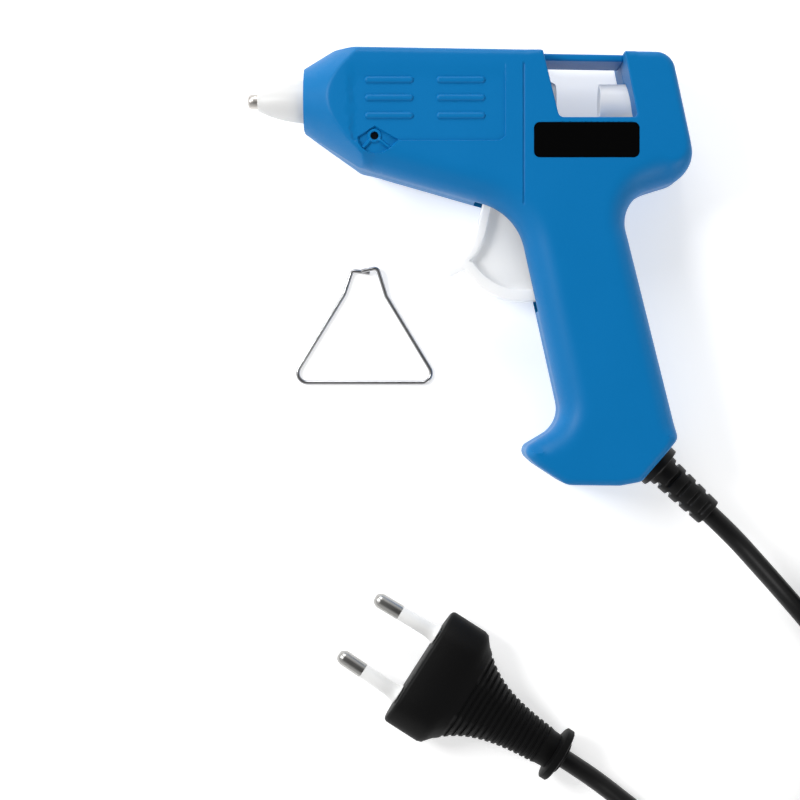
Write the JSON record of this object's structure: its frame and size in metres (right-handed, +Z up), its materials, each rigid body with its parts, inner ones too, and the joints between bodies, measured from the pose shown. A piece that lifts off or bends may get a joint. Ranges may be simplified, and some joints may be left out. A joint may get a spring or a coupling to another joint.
{
  "type": "hobby glue gun",
  "caption": "Small corded hot-melt glue gun lying on its side, with trigger feed, see-through window, white nozzle cover, wire stand, power cord and flat two-pin plug",
  "frame": {"origin": "middle of the gun's footprint on the surface it lies on, without the cord and plug", "axes": "+X to the gun's rear, +Y to the top of the barrel, +Z up through the left side"},
  "size_m": [0.2219, 0.2114, 0.025],
  "materials": {
    "blue_housing": "fine spark-eroded texture, moulded in blue",
    "black_label": "smooth black film, blank",
    "steel": "zinc-plated steel",
    "nozzle_metal": "turned metal",
    "white_silicone": "soft white silicone",
    "cast_aluminium": "die-cast",
    "amber_film": "polyimide film",
    "heater_ceramic": "sintered ceramic tablet",
    "white_plastic": "natural white nylon, slightly translucent",
    "brown_insulation": "smooth insulation",
    "blue_insulation": "smooth insulation",
    "black_cord": "satin black sheath",
    "black_plastic": "moulded black",
    "black_plug": "fine-grained moulded black",
    "pin_metal": "nickel-plated brass",
    "white_pin_sleeve": "smooth white",
    "stand_wire": "bright drawn wire"
  },
  "bodies": {
    "housing": {"left_shell": "blue_housing", "right_shell": "blue_housing", "shell_screws": "steel", "blank_label": "black_label", "nozzle_tip": "nozzle_metal", "nozzle_cover": "white_silicone", "melt_chamber": "cast_aluminium", "heater_insulation": "amber_film", "ptc_heater": "heater_ceramic", "heater_contacts": "steel", "heater_clip": "steel", "inlet_sleeve": "white_silicone", "sleeve_clip": "steel", "inlet_ring": "white_plastic", "trigger_pin": "steel", "return_spring": "steel", "lead_live": "brown_insulation", "lead_neutral": "blue_insulation", "wire_splices": "steel", "cord_tail": "black_cord", "cord_clamp": "black_plastic", "clamp_screws": "steel", "strain_relief": "black_cord", "cord_run_gun": "black_cord", "cord_coil": "black_cord", "coil_tie": "black_plastic", "cord_run_plug": "black_cord", "plug_body": "black_plug", "plug_pins": "pin_metal", "plug_pin_sleeves": "white_pin_sleeve"},
    "trigger": {"trigger": "white_plastic"},
    "carriage": {"feed_carriage": "white_plastic", "jaw_pin": "steel"},
    "jaw": {"grip_jaw": "steel"},
    "stand": {"wire_stand": "stand_wire"}
  },
  "joints": [
    {"name": "trigger_pull", "type": "hinge", "parent": "housing", "child": "trigger", "pos_m": [0.009, 0.0193, 0.0125], "axis": [0, 0, 1], "range_deg": [0, 26], "stiffness_Nm_per_rad": 0.08, "springref_deg": -14.32},
    {"name": "carriage_feed", "type": "slide", "parent": "housing", "child": "carriage", "axis": [1, 0, 0], "range_m": [-0.00611, 0], "deforming": ["return_spring"]},
    {"name": "jaw_bite", "type": "hinge", "parent": "carriage", "child": "jaw", "pos_m": [0.0446, 0.0366, 0.0125], "axis": [0, 0, 1], "range_deg": [0, 5.2]},
    {"name": "stand_lift", "type": "slide", "parent": "housing", "child": "stand", "axis": [0, 0, 1], "range_m": [0, 0.03]}
  ],
  "couplings": [
    {"joint": "carriage_feed", "follows": "trigger_pull", "m_per_rad": -0.013431},
    {"joint": "jaw_bite", "follows": "trigger_pull", "ratio": 0.2}
  ]
}
